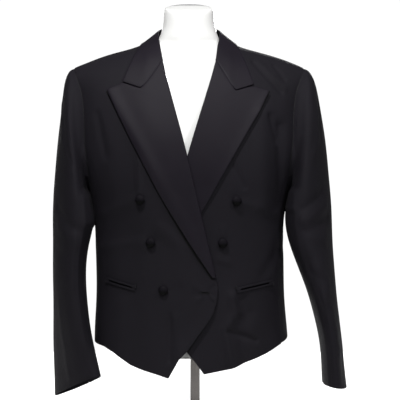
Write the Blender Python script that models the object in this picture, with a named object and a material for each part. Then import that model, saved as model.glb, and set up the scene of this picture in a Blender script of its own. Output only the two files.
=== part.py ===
"""A cropped double-breasted blazer with peak lapels, worn by a limbless dress form on a round base.

Metres, +Z up. The front of the blazer faces -Y, and the wearer's right is at -X. The origin is the
centre of the base's underside. The garment's own centre plane lies a little to the wearer's right of
the pole, so every garment piece is modelled about x = 0 and its object is moved by GARMENT_X.
"""

import math

import bmesh
import bpy
from mathutils import Vector

# Driving sizes
GARMENT_X = -0.012
CLOTH = 0.0020
TRIM = 0.0018
SEAM_GAP = 0.0003
CHEST_Z = 0.500
TIP_Z = 0.704
SHOULDER_Y = 0.005
GIRTH_POWER = 2.4
SIDE_SEAM = 64.0
ARMPIT_Z = 0.464
OVERLAP_LIFT = 0.0066
ROLL_BACK = 0.0056

# Rows of the body's panels: heights up to the chest line, and turns of the shoulder's round above it
BODY_ROWS = (0.205, 0.245, 0.285, 0.325, 0.365, 0.405, 0.440, 0.470, 0.500)
SKIRT_ROWS = (0.080, 0.130)
SHOULDER_ROWS = (9.0, 18.0, 27.0, 36.0, 46.0, 56.0, 67.0, 78.0, 90.0)
ARMHOLE_NOTCH = 9.0

# Hem of the sides and the back, by the angle from the centre of the front
HEM = (
    # angle, z on the right, z on the left
    (64.0, 0.1680, 0.1720),
    (90.0, 0.1700, 0.1790),
    (116.0, 0.1690, 0.1760),
    (148.0, 0.1610, 0.1640),
    (180.0, 0.1560, 0.1560),
)

# Body of the blazer by height: half width on the wearer's right and left, depth of front and back
GIRTH = (
    # z, right, left, front, back
    (0.080, 0.1900, 0.2000, 0.122, 0.114),
    (0.175, 0.1890, 0.1970, 0.120, 0.113),
    (0.250, 0.1860, 0.1920, 0.117, 0.109),
    (0.320, 0.1860, 0.1890, 0.117, 0.108),
    (0.392, 0.1880, 0.1880, 0.121, 0.114),
    (0.420, 0.1905, 0.1905, 0.124, 0.117),
    (0.446, 0.1950, 0.1950, 0.127, 0.120),
    (0.464, 0.1975, 0.1975, 0.128, 0.122),
    (0.500, 0.2065, 0.2065, 0.130, 0.126),
    (0.545, 0.2215, 0.2215, 0.130, 0.128),
    (0.585, 0.2225, 0.2225, 0.130, 0.128),
    (0.646, 0.2290, 0.2290, 0.130, 0.128),
    (0.690, 0.2455, 0.2455, 0.130, 0.128),
    (0.704, 0.2490, 0.2490, 0.130, 0.128),
)

# Shoulder line from the neck to the tip
CREST = (
    # distance from the centre, z
    (0.000, 0.7700),
    (0.070, 0.7665),
    (0.086, 0.7605),
    (0.100, 0.7555),
    (0.122, 0.7490),
    (0.134, 0.7462),
    (0.158, 0.7400),
    (0.182, 0.7325),
    (0.198, 0.7263),
    (0.218, 0.7182),
    (0.230, 0.7120),
    (0.242, 0.7030),
)
NAPE_RISE = 0.050
NAPE_REACH = 0.085

# Front edges in the front view, from the end of the lapel down to the point and along the hem
RIGHT_EDGE = (
    # x, z
    (0.0527, 0.3027),
    (0.0565, 0.2872),
    (0.0536, 0.2641),
    (0.0469, 0.2373),
    (0.0316, 0.2145),
    (0.0163, 0.1944),
    (-0.0048, 0.1639),
    (-0.0185, 0.1502),
    (-0.0382, 0.1150),
    (-0.0523, 0.1190),
    (-0.0916, 0.1298),
    (-0.1135, 0.1370),
    (-0.1457, 0.1580),
    (-0.1660, 0.1674),
    (-0.2100, 0.1720),
)
LEFT_EDGE = (
    # x, z
    (-0.0627, 0.3027),
    (-0.0665, 0.2872),
    (-0.0636, 0.2641),
    (-0.0569, 0.2373),
    (-0.0416, 0.2145),
    (-0.0263, 0.1944),
    (-0.0052, 0.1664),
    (0.0162, 0.1397),
    (0.0297, 0.1211),
    (0.0560, 0.1262),
    (0.0855, 0.1317),
    (0.1048, 0.1385),
    (0.1521, 0.1560),
    (0.1768, 0.1695),
    (0.2150, 0.1800),
)

# Roll lines of the two lapels, from the neck to the closing point
RIGHT_ROLL = (
    # z, x
    (0.3027, 0.0527),
    (0.5423, -0.0036),
    (0.6920, -0.0438),
    (0.7240, -0.0515),
    (0.7516, -0.0556),
)
LEFT_ROLL = (
    # z, x
    (0.3027, -0.0627),
    (0.5423, -0.0004),
    (0.6870, 0.0437),
    (0.7240, 0.0533),
    (0.7516, 0.0570),
)

# Outer edges of the two lapels, from the closing point up to the peak
RIGHT_LEAF = (
    # z, x
    (0.3078, 0.0455),
    (0.3434, 0.0220),
    (0.4051, -0.0161),
    (0.4758, -0.0578),
    (0.4986, -0.0691),
    (0.5763, -0.1115),
    (0.6650, -0.1549),
)
LEFT_LEAF = (
    # z, x
    (0.3078, -0.0555),
    (0.3434, -0.0300),
    (0.4319, 0.0239),
    (0.4986, 0.0609),
    (0.5973, 0.1175),
    (0.6630, 0.1528),
)

# Top edge of each lapel from the roll line to the peak: the gorge seam, the notch and the peak
RIGHT_TOP = ((-0.0513, 0.7232), (-0.0755, 0.6850), (-0.0918, 0.6677), (-0.1276, 0.6795), (-0.1549, 0.6650))
LEFT_TOP = ((0.0531, 0.7232), (0.0755, 0.6850), (0.0897, 0.6632), (0.1252, 0.6735), (0.1528, 0.6630))
LAPEL_BOTTOM_Z = 0.3078
LAPEL_TOP_Z = 0.7232

# Front ends of the collar, a little above the lapels: the gorge seam, the notch and the collar's corner
RIGHT_COLLAR_END = ((-0.0515, 0.7243), (-0.0763, 0.6862), (-0.0916, 0.6698), (-0.1276, 0.6823))
LEFT_COLLAR_END = ((0.0534, 0.7243), (0.0763, 0.6862), (0.0899, 0.6653), (0.1252, 0.6765))

# Fold along a roll line: distance from the line, and height of the cloth's middle over the front's face
FOLD = ((0.0046, -0.0010), (0.0009, -0.0010), (0.0000, 0.0006), (0.0009, 0.0022), (0.0060, 0.0027))
LAPEL_ROWS = 17
LEAF_CURL = 0.0006

# Collar from the shoulder to the centre of the back: fold, outer edge and foot of the stand
COLLAR = (
    # share of the way, fold x, y, z, edge x, y, z, foot x, y, z
    (0.000, 0.0582, -0.0340, 0.7610, 0.1020, -0.0395, 0.7415, 0.0603, -0.0340, 0.7540),
    (0.167, 0.0605, -0.0150, 0.7730, 0.0945, -0.0180, 0.7575, 0.0680, -0.0155, 0.7625),
    (0.333, 0.0612, 0.0060, 0.7840, 0.0895, 0.0090, 0.7630, 0.0698, 0.0055, 0.7655),
    (0.500, 0.0585, 0.0270, 0.7885, 0.0850, 0.0400, 0.7580, 0.0654, 0.0255, 0.7690),
    (0.667, 0.0485, 0.0460, 0.7940, 0.0710, 0.0600, 0.7490, 0.0538, 0.0450, 0.7680),
    (0.833, 0.0290, 0.0600, 0.7980, 0.0410, 0.0745, 0.7510, 0.0360, 0.0600, 0.7700),
    (1.000, 0.0000, 0.0665, 0.7990, 0.0000, 0.0855, 0.7535, 0.0000, 0.0698, 0.7760),
)
COLLAR_SECTIONS = 11

# Sleeves: outer and inner outline in the front view, centre and half of the depth, and how far the
# outer side lies behind the inner side
RIGHT_SLEEVE = (
    # outer x, z, inner x, z, y centre, half depth, lead
    (0.2365, 0.7080, 0.1990, 0.4625, 0.002, 0.0690, 0.002),
    (0.2430, 0.7000, 0.1992, 0.4605, 0.001, 0.0725, 0.004),
    (0.2485, 0.6820, 0.1988, 0.4570, 0.000, 0.0765, 0.007),
    (0.2530, 0.6500, 0.1975, 0.4520, -0.001, 0.0795, 0.011),
    (0.2580, 0.6100, 0.1960, 0.4460, -0.002, 0.0810, 0.018),
    (0.2640, 0.5600, 0.1943, 0.4390, -0.003, 0.0815, 0.024),
    (0.2700, 0.5050, 0.1924, 0.4310, -0.004, 0.0815, 0.030),
    (0.2735, 0.4500, 0.1898, 0.4200, -0.005, 0.0805, 0.034),
    (0.2750, 0.3980, 0.1883, 0.3970, -0.006, 0.0795, 0.034),
    (0.2752, 0.3500, 0.1988, 0.3640, -0.007, 0.0785, 0.031),
    (0.2752, 0.3000, 0.2037, 0.3180, -0.009, 0.0765, 0.030),
    (0.2746, 0.2500, 0.2022, 0.2690, -0.012, 0.0730, 0.030),
    (0.2736, 0.2000, 0.1962, 0.2220, -0.016, 0.0670, 0.031),
    (0.2730, 0.1480, 0.1885, 0.1790, -0.021, 0.0570, 0.034),
    (0.2725, 0.0960, 0.1790, 0.1380, -0.026, 0.0460, 0.037),
    (0.2715, 0.0540, 0.1718, 0.1085, -0.030, 0.0400, 0.040),
)
LEFT_SLEEVE = (
    # outer x, z, inner x, z, y centre, half depth, lead
    (0.2365, 0.7085, 0.1990, 0.4625, 0.002, 0.0690, 0.002),
    (0.2445, 0.7015, 0.1992, 0.4605, 0.001, 0.0725, 0.004),
    (0.2530, 0.6810, 0.1988, 0.4570, 0.000, 0.0765, 0.007),
    (0.2600, 0.6500, 0.1975, 0.4520, -0.001, 0.0795, 0.011),
    (0.2675, 0.6100, 0.1956, 0.4460, -0.002, 0.0810, 0.018),
    (0.2750, 0.5600, 0.1938, 0.4390, -0.003, 0.0815, 0.023),
    (0.2805, 0.5100, 0.1917, 0.4310, -0.004, 0.0810, 0.027),
    (0.2845, 0.4600, 0.1892, 0.4190, -0.006, 0.0800, 0.028),
    (0.2872, 0.4000, 0.1925, 0.3840, -0.009, 0.0790, 0.025),
    (0.2897, 0.3450, 0.2085, 0.3350, -0.013, 0.0780, 0.020),
    (0.2930, 0.2900, 0.2285, 0.2860, -0.018, 0.0760, 0.015),
    (0.2975, 0.2380, 0.2440, 0.2410, -0.023, 0.0735, 0.011),
    (0.3025, 0.1870, 0.2552, 0.1950, -0.028, 0.0710, 0.008),
    (0.3075, 0.1400, 0.2615, 0.1490, -0.033, 0.0690, 0.006),
    (0.3105, 0.1050, 0.2638, 0.1130, -0.037, 0.0675, 0.005),
    (0.3125, 0.0830, 0.2650, 0.0900, -0.040, 0.0665, 0.004),
)
CUFF_FALL = {"right": 0.010, "left": 0.004}
SLEEVE_SEAMS = (135.0, 240.0)

# Troughs and ridges of the cloth in the front view, positive where the cloth stands out
FRONT_FOLDS = (
    # from x, z, to x, z, width, height
    (0.1560, 0.6050, 0.1660, 0.4300, 0.020, -0.0045),
    (0.1290, 0.7240, 0.1780, 0.6700, 0.010, -0.0028),
    (0.1640, 0.7250, 0.1860, 0.6920, 0.009, -0.0020),
    (0.0870, 0.2700, 0.0900, 0.1300, 0.022, 0.0035),
    (0.0880, 0.2020, 0.1500, 0.1800, 0.014, -0.0035),
    (-0.0330, 0.2200, -0.0300, 0.1500, 0.016, -0.0025),
    (-0.1720, 0.5600, -0.1640, 0.4400, 0.018, -0.0025),
    (0.1500, 0.4400, 0.1620, 0.3000, 0.020, 0.0020),
)
BACK_FOLDS = (
    # from x, z, to x, z, width, height
    (-0.1500, 0.6200, -0.1350, 0.4200, 0.022, -0.0040),
    (0.1480, 0.6300, 0.1400, 0.4300, 0.022, -0.0040),
    (-0.0900, 0.3400, 0.0800, 0.3300, 0.020, -0.0025),
    (-0.1150, 0.3000, -0.1200, 0.1700, 0.022, 0.0030),
    (0.0700, 0.2800, 0.0850, 0.1600, 0.022, 0.0030),
)

# Covered buttons: x and z of the five on the fronts
BUTTONS = {
    "button_right_top": (-0.0899, 0.4574),
    "button_right_middle": (-0.0707, 0.3752),
    "button_right_bottom": (-0.0472, 0.2835),
    "button_left_top": (0.0918, 0.4545),
    "button_left_middle": (0.0654, 0.3739),
}
BUTTON_RADIUS = 0.0095
BUTTON_HEIGHT = 0.0068
BUTTON_LIFT = 0.0009

# Jetted pockets: inner and outer end in the front view
POCKETS = {
    "right": ((-0.1012, 0.2850), (-0.1600, 0.2985)),
    "left": ((0.0922, 0.2816), (0.1620, 0.2942)),
}
JET_WIDTH = 0.0050
JET_SLIT = 0.0006
JET_THICK = 0.0014
JET_LIFT = 0.0006

# Dress form by height: half width, depth of front and back, and roundness of the section
FORM = (
    # z, half width, front, back, power
    (0.1430, 0.1480, 0.0860, 0.0840, 2.2),
    (0.1462, 0.1555, 0.0935, 0.0905, 2.2),
    (0.1550, 0.1600, 0.0980, 0.0940, 2.2),
    (0.2050, 0.1600, 0.0990, 0.0940, 2.2),
    (0.2600, 0.1520, 0.0950, 0.0880, 2.2),
    (0.3200, 0.1470, 0.0950, 0.0860, 2.2),
    (0.3800, 0.1520, 0.1010, 0.0930, 2.2),
    (0.4400, 0.1610, 0.1090, 0.1020, 2.2),
    (0.5000, 0.1700, 0.1130, 0.1080, 2.2),
    (0.5600, 0.1790, 0.1100, 0.1090, 2.2),
    (0.6000, 0.1850, 0.1040, 0.1060, 2.2),
    (0.6400, 0.1890, 0.0940, 0.0990, 2.1),
    (0.6700, 0.1900, 0.0850, 0.0900, 2.0),
    (0.6950, 0.1880, 0.0760, 0.0800, 1.9),
    (0.7140, 0.1810, 0.0680, 0.0710, 1.8),
    (0.7270, 0.1680, 0.0600, 0.0640, 1.6),
    (0.7394, 0.1480, 0.0540, 0.0530, 1.55),
    (0.7474, 0.1180, 0.0500, 0.0520, 1.5),
    (0.7530, 0.0985, 0.0470, 0.0540, 1.5),
    (0.7578, 0.0800, 0.0458, 0.0535, 1.55),
    (0.7640, 0.0655, 0.0455, 0.0530, 1.7),
    (0.7740, 0.0585, 0.0455, 0.0530, 2.0),
    (0.7900, 0.0525, 0.0452, 0.0525, 2.0),
    (0.8120, 0.0505, 0.0450, 0.0520, 2.0),
    (0.8270, 0.0495, 0.0445, 0.0510, 2.0),
    (0.8310, 0.0470, 0.0420, 0.0485, 2.0),
)
NECK_TILT = 0.25
NECK_TILT_FROM = 0.770
FORM_SEGMENTS = 40

POLE_RADIUS = 0.0095
FLANGE_RADIUS = 0.034
FLANGE_THICK = 0.006
BASE_RADIUS = 0.140
BASE_THICK = 0.012
BASE_EDGE = 0.004


def material(name, colour, roughness, metallic=0.0):
    made = bpy.data.materials.new(name)
    made.use_nodes = True
    shader = made.node_tree.nodes["Principled BSDF"]
    shader.inputs["Base Color"].default_value = (*colour, 1.0)
    shader.inputs["Roughness"].default_value = roughness
    shader.inputs["Metallic"].default_value = metallic
    return made


def smooth(table, at, column):
    """The table's column at this value of its first column, on a smooth curve through the rows."""
    last = len(table) - 1
    if at <= table[0][0]:
        return table[0][column]
    if at >= table[last][0]:
        return table[last][column]
    row = max(k for k in range(last) if table[k][0] <= at)

    def slope(k):
        before, after = table[max(0, k - 1)], table[min(last, k + 1)]
        return (after[column] - before[column]) / (after[0] - before[0])

    step = table[row + 1][0] - table[row][0]
    s = (at - table[row][0]) / step
    start, end = table[row][column], table[row + 1][column]
    rise = (s**3 - 2 * s**2 + s) * slope(row) + (s**3 - s**2) * slope(row + 1)
    return start + (3 * s**2 - 2 * s**3) * (end - start) + rise * step


def ease(low, high, value):
    share = min(1.0, max(0.0, (value - low) / (high - low)))
    return share * share * (3 - 2 * share)


# Surface of the garment's body


def crest_height(x, behind):
    height = smooth(CREST, abs(x), 1)
    if behind:
        height += NAPE_RISE * ease(0, 1, 1 - abs(x) / NAPE_REACH)
    return height


def fold_height(folds, x, z):
    """How far the cloth stands out here, summed over the folds of the table."""
    total = 0.0
    for x1, z1, x2, z2, width, height in folds:
        start, end, at = Vector((x1, z1)), Vector((x2, z2)), Vector((x, z))
        share = (at - start).dot(end - start) / (end - start).length_squared
        aside = (at - start.lerp(end, min(1.0, max(0.0, share)))).length
        total += height * math.exp(-((aside / width) ** 2))
    return total


def overlap_lift(x, z):
    """How far the wearer's right front stands off, where it laps over the left front and its lapel."""
    return OVERLAP_LIFT * ease(-0.125, -0.072, x) * (1 - ease(0.56, 0.70, z))


def row_height(degrees):
    """Row above the chest line, as the chest line plus the share of the quarter turn to the shoulder."""
    return CHEST_Z + degrees / 90


def plain_body(angle, height):
    """Point on the unfolded body. The angle runs from the centre front, positive to the wearer's left.
    Height is z up to the chest line, and a row height above it."""
    turn = math.radians(angle)
    behind = abs(angle) > 90
    over = max(0.0, height - CHEST_Z) * math.pi / 2
    level = min(height, CHEST_Z) + math.sin(over) * (TIP_Z - CHEST_Z)
    width = smooth(GIRTH, level, 1 if angle < 0 else 2)
    depth = smooth(GIRTH, level, 4 if behind else 3)
    power = 2 / GIRTH_POWER
    x = math.copysign(width * abs(math.sin(turn)) ** power, angle)
    y = depth * abs(math.cos(turn)) ** power * math.cos(over)
    y = SHOULDER_Y * math.sin(over) + (y if behind else -y)
    z = min(height, CHEST_Z) + math.sin(over) * (crest_height(x, behind) - CHEST_Z)
    return Vector((x, y, z))


def body(angle, height, lift=0.0, overlapped=False):
    """Point on the cloth's outer face, moved out along its normal by lift."""
    at = plain_body(angle, height)
    top = row_height(90)
    across = plain_body(angle + 0.4, height) - plain_body(angle - 0.4, height)
    up = plain_body(angle, min(top, height + 0.004)) - plain_body(angle, height - 0.004)
    raised = lift + fold_height(BACK_FOLDS if abs(angle) > 90 else FRONT_FOLDS, at.x, at.z)
    if overlapped:
        raised += overlap_lift(at.x, at.z)
    return at + across.cross(up).normalized() * raised


def on_front(x, z, lift=0.0, overlapped=False):
    """Point on the front at this place of the front view, moved out along its normal by lift."""
    height = z
    level = z
    if z > CHEST_Z:
        share = min(1.0, (z - CHEST_Z) / (crest_height(x, False) - CHEST_Z))
        height = row_height(math.degrees(math.asin(share)))
        level = CHEST_Z + share * (TIP_Z - CHEST_Z)
    width = smooth(GIRTH, level, 1 if x < 0 else 2)
    share = min(1.0, abs(x) / width)
    angle = math.copysign(math.degrees(math.asin(share ** (GIRTH_POWER / 2))), x)
    return body(angle, height, lift, overlapped)


# Meshes


def add(name, bm, look, at=(GARMENT_X, 0, 0)):
    mesh = bpy.data.meshes.new(name)
    bm.to_mesh(mesh)
    bm.free()
    made = bpy.data.objects.new(name, mesh)
    made.location = at
    made.data.materials.append(look)
    bpy.context.scene.collection.objects.link(made)
    mesh.shade_smooth()
    mesh.set_sharp_from_angle(angle=math.radians(40))
    return made


def grid(bm, columns, rows, place):
    """Adds a grid of faces whose points are set by place(column, row), and returns its points."""
    points = [[bm.verts.new(place(column, row)) for column in range(columns)] for row in range(rows)]
    for low, high in zip(points, points[1:]):
        for left in range(columns - 1):
            bm.faces.new((low[left], low[left + 1], high[left + 1], high[left]))
    return points


def rim(points):
    """Points round the border of a grid, in order."""
    up = [row[-1] for row in points[1:-1]]
    down = [row[0] for row in reversed(points[1:-1])]
    return points[0] + up + list(reversed(points[-1])) + down


def wall(columns, rows, outer, inner):
    """A closed wall between two grids of the same size, joined round their rims."""
    bm = bmesh.new()
    outside = rim(grid(bm, columns, rows, outer))
    inside = rim(grid(bm, columns, rows, inner))
    for k in range(len(outside)):
        after = (k + 1) % len(outside)
        bm.faces.new((outside[k], inside[k], inside[after], outside[after]))
    bmesh.ops.recalc_face_normals(bm, faces=bm.faces[:])
    return bm


def helper(name, bm):
    """A cutter that isn't part of the garment."""
    mesh = bpy.data.meshes.new(name)
    bm.to_mesh(mesh)
    bm.free()
    made = bpy.data.objects.new(name, mesh)
    made.location = (GARMENT_X, 0, 0)
    made.hide_render = True
    made.display_type = "WIRE"
    bpy.context.scene.collection.objects.link(made)
    return made


def prism(name, outline, front, back):
    """A cutter: the outline of the front view, run through from front to back."""
    bm = bmesh.new()
    face = bm.faces.new([bm.verts.new((x, front, z)) for x, z in outline])
    grown = bmesh.ops.extrude_face_region(bm, geom=[face])
    moved = [v for v in grown["geom"] if isinstance(v, bmesh.types.BMVert)]
    bmesh.ops.translate(bm, vec=(0, back - front, 0), verts=moved)
    bmesh.ops.triangulate(bm, faces=bm.faces[:])
    bmesh.ops.recalc_face_normals(bm, faces=bm.faces[:])
    return helper(name, bm)


def cut(piece, cutter, operation):
    change = piece.modifiers.new("cut", "BOOLEAN")
    change.operation = operation
    change.solver = "EXACT"
    change.object = cutter


def solidify(piece, thick):
    change = piece.modifiers.new("cloth", "SOLIDIFY")
    change.thickness = thick
    change.offset = 0
    change.use_even_offset = True
    change.use_quality_normals = True


def spaced(first, last, count):
    return [first + (last - first) * k / (count - 1) for k in range(count)]


def along_line(points, share):
    """Point at this share of an open line's length."""
    lengths = [(b - a).length for a, b in zip(points, points[1:])]
    left = share * sum(lengths)
    for k, length in enumerate(lengths):
        if left <= length or k == len(lengths) - 1:
            return points[k].lerp(points[k + 1], min(1.0, left / length))
        left -= length


# Panels of the body


def seam_angles(first, last, count):
    """Columns of a panel from seam to seam, each end drawn in by half of the seam's gap."""
    gap = math.degrees(SEAM_GAP / 2 / 0.14)
    return spaced(first + gap, last - gap, count)


def hem_z(angle):
    return smooth(HEM, abs(angle), 1 if angle < 0 else 2)


def panel_rows(angle, below):
    """Rows of a front or a back, up to half of the seam's gap short of the shoulder seam."""
    rows = list(below) + list(BODY_ROWS) + [row_height(turn) for turn in SHOULDER_ROWS]
    rows[-1] -= SEAM_GAP / 2 / 0.12 * 2 / math.pi
    return rows


def front_rows(angle):
    return panel_rows(angle, SKIRT_ROWS + (HEM[0][1 if angle < 0 else 2],))


def back_rows(angle):
    return panel_rows(angle, (hem_z(angle),))


def armhole_z(angle):
    """Height of the armhole's lower curve over the side panel."""
    notch = plain_body(SIDE_SEAM, row_height(ARMHOLE_NOTCH)).z
    lift = abs(abs(angle) - 90) / (90 - SIDE_SEAM)
    return ARMPIT_Z + (notch - ARMPIT_Z) * lift**2.2


def side_rows(angle):
    """Rows of a side panel: the fronts' rows at the seams, squeezed together under the arm."""
    top, notch = armhole_z(angle), armhole_z(SIDE_SEAM)
    rows = []
    for z in (hem_z(angle),) + BODY_ROWS + (notch,):
        z = hem_z(angle) + (z - hem_z(angle)) * (top - hem_z(angle)) / (notch - hem_z(angle))
        if z > CHEST_Z:
            x = plain_body(angle, row_height(ARMHOLE_NOTCH)).x
            share = (z - CHEST_Z) / (crest_height(x, abs(angle) > 90) - CHEST_Z)
            z = row_height(math.degrees(math.asin(share)))
        rows.append(z)
    return rows


def panel(name, angles, rows_at, look, overlapped=False):
    """A panel of the body: a wall over these columns, and over the rows that belong to each."""
    rows = [rows_at(angle) for angle in angles]

    def face(lift):
        return lambda column, row: body(angles[column], rows[column][row], lift, overlapped)

    return add(name, wall(len(angles), len(rows[0]), face(0.0), face(-CLOTH)), look)


def front_outline(roll, edge):
    """Front view of a front: up the roll line to the neck, over the shoulder, and back by the hem."""
    side = -1 if edge[-1][0] < 0 else 1
    up = [(smooth(roll, z, 1) + side * ROLL_BACK, z) for z in spaced(0.3035, roll[-1][0], 21)]
    over = [(side * 0.0665, 0.790), (side * 0.30, 0.790), (side * 0.30, edge[-1][1])]
    return up + over + list(reversed(edge))


def neck_cutter():
    """Upright oval cylinder that opens the neck of the fronts and the backs."""
    bm = bmesh.new()
    bmesh.ops.create_cone(bm, cap_ends=True, segments=40, radius1=1.0, radius2=1.0, depth=0.16)
    bmesh.ops.scale(bm, vec=(0.0720, 0.0712, 1.0), verts=bm.verts[:])
    bmesh.ops.translate(bm, vec=(0, 0.001, 0.8150), verts=bm.verts[:])
    return helper("neck_cutter", bm)


def body_panels(cloth):
    neck = neck_cutter()
    right = panel("front_right", seam_angles(-SIDE_SEAM, 24.0, 17), front_rows, cloth, True)
    cut(right, prism("right_cutter", front_outline(RIGHT_ROLL, RIGHT_EDGE), -0.30, 0.30), "INTERSECT")
    left = panel("front_left", seam_angles(-30.0, SIDE_SEAM, 17), front_rows, cloth)
    cut(left, prism("left_cutter", front_outline(LEFT_ROLL, LEFT_EDGE), -0.30, 0.30), "INTERSECT")
    back_seam = 180 - SIDE_SEAM
    for word, side in (("right", -1), ("left", 1)):
        ends = sorted((side * back_seam, side * 180.0))
        back = panel(f"back_{word}", seam_angles(*ends, 11), back_rows, cloth)
        cut(back, neck, "DIFFERENCE")
        ends = sorted((side * SIDE_SEAM, side * back_seam))
        panel(f"side_{word}", seam_angles(*ends, 8), side_rows, cloth)
    for front in (left, right):
        cut(front, neck, "DIFFERENCE")


# Sleeves


def armhole(side):
    """The armhole from the shoulder tip down the front, under the arm and up the back, at panel points."""
    rows = [row_height(turn) for turn in SHOULDER_ROWS]
    front = [body(side * SIDE_SEAM, row) for row in reversed(rows)]
    under = []
    for angle in spaced(SIDE_SEAM, 180 - SIDE_SEAM, 8)[1:-1]:
        under.append(body(side * angle, side_rows(side * angle)[-1]))
    back = [body(side * (180 - SIDE_SEAM), row) for row in rows[:-1]]
    return front + under + back


def drawn_in(loop, depth):
    """The armhole's points moved towards its middle by depth, square to the loop in the side view."""
    moved = []
    for before, at, after in zip(loop[-1:] + loop[:-1], loop, loop[1:] + loop[:1]):
        along = after - before
        moved.append(at + Vector((0, -along.z, along.y)).normalized() * depth)
    return moved


def armhole_turns(loop, station):
    """Turn of each armhole point round the sleeve's first ring, in degrees."""
    _outer_x, outer_z, _inner_x, inner_z, centre_y, half_depth, _lead = station
    turns = []
    for point in loop:
        forward = (centre_y - point.y) / half_depth
        up = (point.z - (outer_z + inner_z) / 2) / ((outer_z - inner_z) / 2)
        turns.append(math.degrees(math.atan2(forward, up)) % 360)
    if turns[0] > 180:
        turns[0] -= 360
    return turns


def sleeve_ring(station, side, fall, turn):
    """Point on one ring of a sleeve. The turn runs from the top of the arm to its front, in degrees."""
    outer_x, outer_z, inner_x, inner_z, centre_y, half_depth, lead = station
    outer = Vector((side * outer_x, centre_y + lead, outer_z))
    inner = Vector((side * inner_x, centre_y - lead, inner_z))
    angle = math.radians(turn)
    forward = Vector((0, -half_depth, fall)) * math.sin(angle)
    return (outer + inner) / 2 + (outer - inner) / 2 * math.cos(angle) + forward


def sleeve(name, word, stations, loops, turns, wanted, look):
    """One of a sleeve's two pieces: a wall from the armhole to the cuff over the wanted columns."""
    side = -1 if word == "right" else 1
    last = len(stations)

    def ring(row, turn):
        fall = CUFF_FALL[word] * ease(last - 4, last, row)
        return sleeve_ring(stations[row - 1], side, fall, turn)

    def turn_of(column, row):
        gap = math.degrees(SEAM_GAP / stations[row - 1][5])
        sign = 1 if column == 0 else -1 if column == len(wanted) - 1 else 0
        return turns[wanted[column]] + gap * sign

    def first_ring(loop, column):
        beside = 1 if column == 0 else column - 1
        share = 0.014 if column in (0, len(wanted) - 1) else 0.0
        return loop[wanted[column]].lerp(loop[wanted[beside]], share) + Vector((side * 0.0004, 0, 0))

    def outer(column, row):
        return ring(row, turn_of(column, row)) if row else first_ring(loops[0], column)

    def inner(column, row):
        if row == 0:
            return first_ring(loops[1], column)
        turn = turn_of(column, row)
        around = ring(row, turn + 1.5) - ring(row, turn - 1.5)
        along = ring(min(last, row + 1), turn) - ring(max(1, row - 1), turn)
        return ring(row, turn) - (around.cross(along) * side).normalized() * CLOTH

    return add(name, wall(len(wanted), last + 1, outer, inner), look)


def sleeves(cloth):
    front_seam, back_seam = SLEEVE_SEAMS
    for word, side, stations in (("right", -1, RIGHT_SLEEVE), ("left", 1, LEFT_SLEEVE)):
        loop = armhole(side)
        loops = [loop, drawn_in(loop, CLOTH)]
        turns = armhole_turns(loops[0], stations[0])
        count = len(turns)
        first = min(range(count), key=lambda k: abs(turns[k] - front_seam))
        second = min(range(count), key=lambda k: abs(turns[k] - back_seam))
        top = [k - count for k in range(second, count)] + list(range(first + 1))
        sleeve(f"sleeve_{word}_top", word, stations, loops, turns, top, cloth)
        sleeve(f"sleeve_{word}_under", word, stations, loops, turns, list(range(first, second + 1)), cloth)


# Lapels and collar

def refined(line):
    """The line with a point added halfway along each piece after the first."""
    points = [Vector(p) for p in line]
    made = points[:2]
    for before, after in zip(points[1:], points[2:]):
        made += [before.lerp(after, 0.5), after]
    return made


def leaf_shares(line):
    lengths = [(b - a).length for a, b in zip(line, line[1:])]
    return [sum(lengths[: k + 1]) / sum(lengths) for k in range(len(lengths))]


def lapel(name, roll, leaf, top, overlapped, look):
    """A lapel: it comes from under the roll line, turns over it and lies out to the leaf's edge."""
    top = refined(top)
    shares = leaf_shares(top)

    def place(column, row):
        up = row / (LAPEL_ROWS - 1)
        inner_z = LAPEL_BOTTOM_Z + (LAPEL_TOP_Z - LAPEL_BOTTOM_Z) * up
        outer_z = LAPEL_BOTTOM_Z + (top[-1].y - LAPEL_BOTTOM_Z) * up
        start = Vector((smooth(roll, inner_z, 1), inner_z))
        end = Vector((smooth(leaf, outer_z, 1), outer_z))
        reach = (end - start).length
        if column < len(FOLD):
            away, height = FOLD[column]
            out = min(0.8 * shares[0], away / reach)
        else:
            out = shares[column - len(FOLD)]
            height = FOLD[-1][1] + LEAF_CURL * out**3
        bend = (along_line(top, out) - top[0].lerp(top[-1], out)) * ease(0.70, 1.0, up)
        flat = start.lerp(end, out) + bend
        return on_front(flat.x, flat.y, height, overlapped)

    bm = bmesh.new()
    grid(bm, len(FOLD) + len(shares), LAPEL_ROWS, place)
    piece = add(name, bm, look)
    solidify(piece, TRIM)
    return piece


def collar_end(end, side, share):
    """Section of the collar that lies on the front, at this share of the way up to the shoulder."""
    line = refined(end)
    shares = leaf_shares(line)
    start = line[0].lerp(Vector((side * COLLAR[0][1], COLLAR[0][3])), share)
    stop = line[-1].lerp(Vector((side * COLLAR[0][4], COLLAR[0][6])), share)
    reach = (stop - start).length
    places = [(away / reach, height) for away, height in FOLD]
    places += [(out, FOLD[-1][1] + 0.0003) for out in shares]
    points = []
    for out, height in places:
        bend = (along_line(line, out) - line[0].lerp(line[-1], out)) * (1 - share) ** 2
        flat = start.lerp(stop, out) + bend
        points.append(on_front(flat.x, flat.y, height))
    return points


def collar_round(way, side, shares):
    """Section of the collar round the neck: up the stand, over the fold and down to the outer edge."""
    row = [smooth(COLLAR, way, column) for column in range(1, 10)]
    fold = Vector((side * row[0], row[1], row[2]))
    edge = Vector((side * row[3], row[4], row[5]))
    foot = Vector((side * row[6], row[7], row[8]))
    out = Vector((edge.x - fold.x, edge.y - fold.y, 0)).normalized()
    stand = fold - Vector((0, 0, 0.0022))
    lip = fold + out * 0.0030 - Vector((0, 0, 0.0010))
    points = [foot, foot.lerp(stand, 0.5), stand, fold + out * 0.0011, lip]
    for share in shares:
        points.append(lip.lerp(edge, share) + out * 0.0012 * math.sin(math.pi * share))
    return points


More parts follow.
